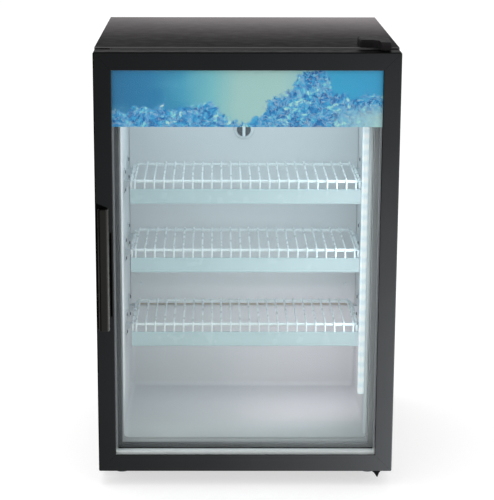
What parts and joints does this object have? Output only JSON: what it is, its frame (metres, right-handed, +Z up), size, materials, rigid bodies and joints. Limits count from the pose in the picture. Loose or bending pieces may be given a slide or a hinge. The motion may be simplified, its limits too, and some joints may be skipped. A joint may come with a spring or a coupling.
{
  "type": "glass door merchandiser",
  "caption": "Countertop refrigerated display cabinet: hinged double-glazed door with a printed banner, wire shelves with price strips, lamp, thermostat dial and rear condensing unit.",
  "frame": {"origin": "middle of the footprint, on the surface the feet stand on", "axes": "+Z up, the door faces -Y, +X to the right as seen from the front"},
  "size_m": [0.54, 0.544, 0.82],
  "materials": {
    "cabinet_steel": "satin",
    "zinc_steel": "satin",
    "liner_plastic": "satin",
    "insulation_foam": "matte",
    "shelf_wire": "satin",
    "price_strip": "satin",
    "door_frame": "satin",
    "handle_plastic": "satin",
    "pane_glass": "gloss",
    "spacer_aluminium": "satin",
    "banner_print": "satin",
    "gasket_rubber": "matte",
    "lamp_light": "satin",
    "coil_aluminium": "satin",
    "drier_copper": "satin",
    "compressor_paint": "satin",
    "black_plastic": "satin",
    "bracket_steel": "satin",
    "foot_steel": "satin"
  },
  "bodies": {
    "cabinet": {"side_panel_left": "cabinet_steel", "side_panel_right": "cabinet_steel", "top_panel": "cabinet_steel", "rear_grille": "cabinet_steel", "base_pan": "cabinet_steel", "back_panel": "zinc_steel", "machine_divider": "zinc_steel", "condenser_fan_motor": "zinc_steel", "inner_liner": "liner_plastic", "evaporator_cover": "liner_plastic", "thermostat_body": "liner_plastic", "lamp_housing": "liner_plastic", "shelf_clip_lower_front_left": "liner_plastic", "shelf_clip_lower_front_right": "liner_plastic", "shelf_clip_lower_rear_left": "liner_plastic", "shelf_clip_lower_rear_right": "liner_plastic", "shelf_clip_middle_front_left": "liner_plastic", "shelf_clip_middle_front_right": "liner_plastic", "shelf_clip_middle_rear_left": "liner_plastic", "shelf_clip_middle_rear_right": "liner_plastic", "shelf_clip_upper_front_left": "liner_plastic", "shelf_clip_upper_front_right": "liner_plastic", "shelf_clip_upper_rear_left": "liner_plastic", "shelf_clip_upper_rear_right": "liner_plastic", "foam_insulation": "insulation_foam", "shelf_lower": "shelf_wire", "shelf_middle": "shelf_wire", "shelf_upper": "shelf_wire", "price_strip_lower": "price_strip", "price_strip_middle": "price_strip", "price_strip_upper": "price_strip", "lamp_diffuser": "lamp_light", "evaporator_coil": "coil_aluminium", "condenser_coil": "coil_aluminium", "filter_drier": "drier_copper", "compressor": "compressor_paint", "power_inlet": "black_plastic", "hinge_cover": "black_plastic", "condensate_pan": "black_plastic", "evaporator_fan_motor": "black_plastic", "lower_hinge_bracket": "bracket_steel", "upper_hinge_bracket": "bracket_steel", "foot_rear_left": "foot_steel", "foot_rear_right": "foot_steel"},
    "door": {"door_stile_left": "door_frame", "door_stile_right": "door_frame", "door_rail_top": "door_frame", "door_rail_bottom": "door_frame", "glass_outer": "pane_glass", "glass_inner": "pane_glass", "glass_spacer": "spacer_aluminium", "door_banner": "banner_print", "door_gasket": "gasket_rubber", "door_handle": "handle_plastic"},
    "evaporator_fan": {"evaporator_fan_blade": "black_plastic"},
    "condenser_fan": {"condenser_fan_blade": "coil_aluminium"},
    "thermostat_dial": {"thermostat_knob": "liner_plastic"},
    "levelling_foot_left": {"foot_front_left": "foot_steel"},
    "levelling_foot_right": {"foot_front_right": "foot_steel"}
  },
  "joints": [
    {"name": "door_hinge", "type": "hinge", "parent": "cabinet", "child": "door", "pos_m": [0.243, -0.241, 0.416], "axis": [0, 0, 1], "range_deg": [0, 120]},
    {"name": "evaporator_fan_spin", "type": "hinge", "parent": "cabinet", "child": "evaporator_fan", "pos_m": [0, 0.101, 0.69], "axis": [0, 1, 0], "continuous": true},
    {"name": "condenser_fan_spin", "type": "hinge", "parent": "cabinet", "child": "condenser_fan", "pos_m": [-0.144, 0.1985, 0.1145], "axis": [1, 0, 0], "continuous": true},
    {"name": "thermostat_turn", "type": "hinge", "parent": "cabinet", "child": "thermostat_dial", "pos_m": [0, 0.081, 0.607], "axis": [0, 1, 0], "range_deg": [-150, 150]},
    {"name": "foot_left_screw", "type": "slide", "parent": "cabinet", "child": "levelling_foot_left", "axis": [0, 0, -1], "range_m": [0, 0.008]},
    {"name": "foot_right_screw", "type": "slide", "parent": "cabinet", "child": "levelling_foot_right", "axis": [0, 0, -1], "range_m": [0, 0.008]}
  ]
}
